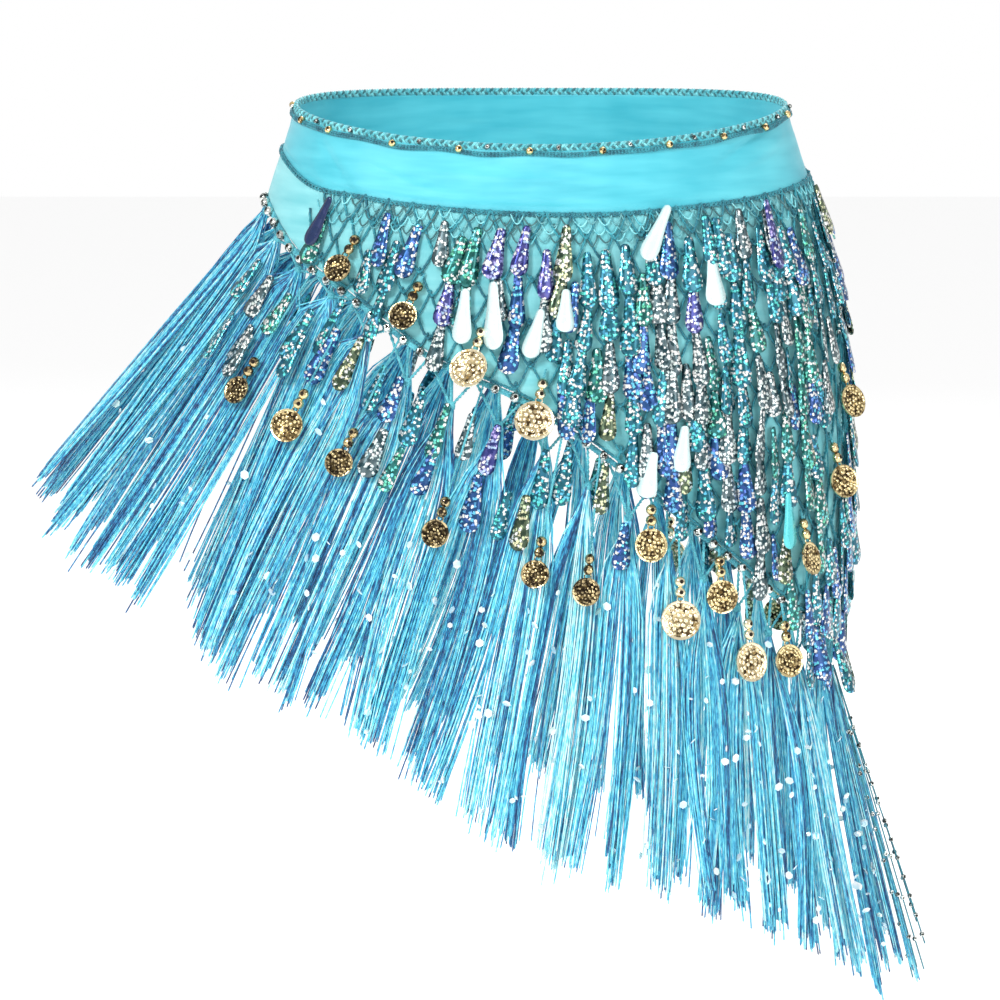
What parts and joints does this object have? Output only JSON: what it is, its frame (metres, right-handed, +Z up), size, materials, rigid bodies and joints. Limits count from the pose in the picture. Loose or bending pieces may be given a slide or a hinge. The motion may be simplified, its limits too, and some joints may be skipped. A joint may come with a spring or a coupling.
{
  "type": "belly dance hip scarf",
  "caption": "Wrap-round hip scarf with a cloth band, a slanted net panel with sequins, hanging coins and a long fringe, in its worn form.",
  "frame": {"origin": "middle of the hips the scarf is tied round, at the height of the front top edge", "axes": "+Z up, the front faces -Y, +X towards the low side of the slanted hem"},
  "size_m": [0.4915, 0.277, 0.5089],
  "materials": {
    "waistband_cloth": "smooth stretch cloth with a soft sheen",
    "panel_cloth": "matt lining cloth",
    "trim_thread": "crochet cord with small beads",
    "net_thread": "crochet net",
    "fringe_thread": "shiny rayon thread",
    "gold_metal": "stamped and antiqued",
    "sequin": "holographic foil"
  },
  "bodies": {
    "root": {"beaded_edge_back": "trim_thread", "beaded_edge_front": "trim_thread", "coin_back_1": "gold_metal", "coin_back_2": "gold_metal", "coin_back_3": "gold_metal", "coin_back_4": "gold_metal", "coin_edge_1": "gold_metal", "coin_edge_10": "gold_metal", "coin_edge_11": "gold_metal", "coin_edge_2": "gold_metal", "coin_edge_3": "gold_metal", "coin_edge_4": "gold_metal", "coin_edge_5": "gold_metal", "coin_edge_6": "gold_metal", "coin_edge_7": "gold_metal", "coin_edge_8": "gold_metal", "coin_edge_9": "gold_metal", "coin_net_1": "gold_metal", "coin_net_2": "gold_metal", "coin_net_3": "gold_metal", "coin_net_4": "gold_metal", "coin_net_5": "gold_metal", "coin_net_6": "gold_metal", "coin_net_7": "gold_metal", "edge_trim_back": "trim_thread", "edge_trim_front": "trim_thread", "fringe_back_1": "fringe_thread", "fringe_back_2": "fringe_thread", "fringe_back_3": "fringe_thread", "fringe_front_1": "fringe_thread", "fringe_front_2": "fringe_thread", "fringe_front_3": "fringe_thread", "net_back": "net_thread", "net_front": "net_thread", "panel_back": "panel_cloth", "panel_front": "panel_cloth", "waistband_back": "waistband_cloth", "waistband_front": "waistband_cloth"}
  },
  "joints": []
}
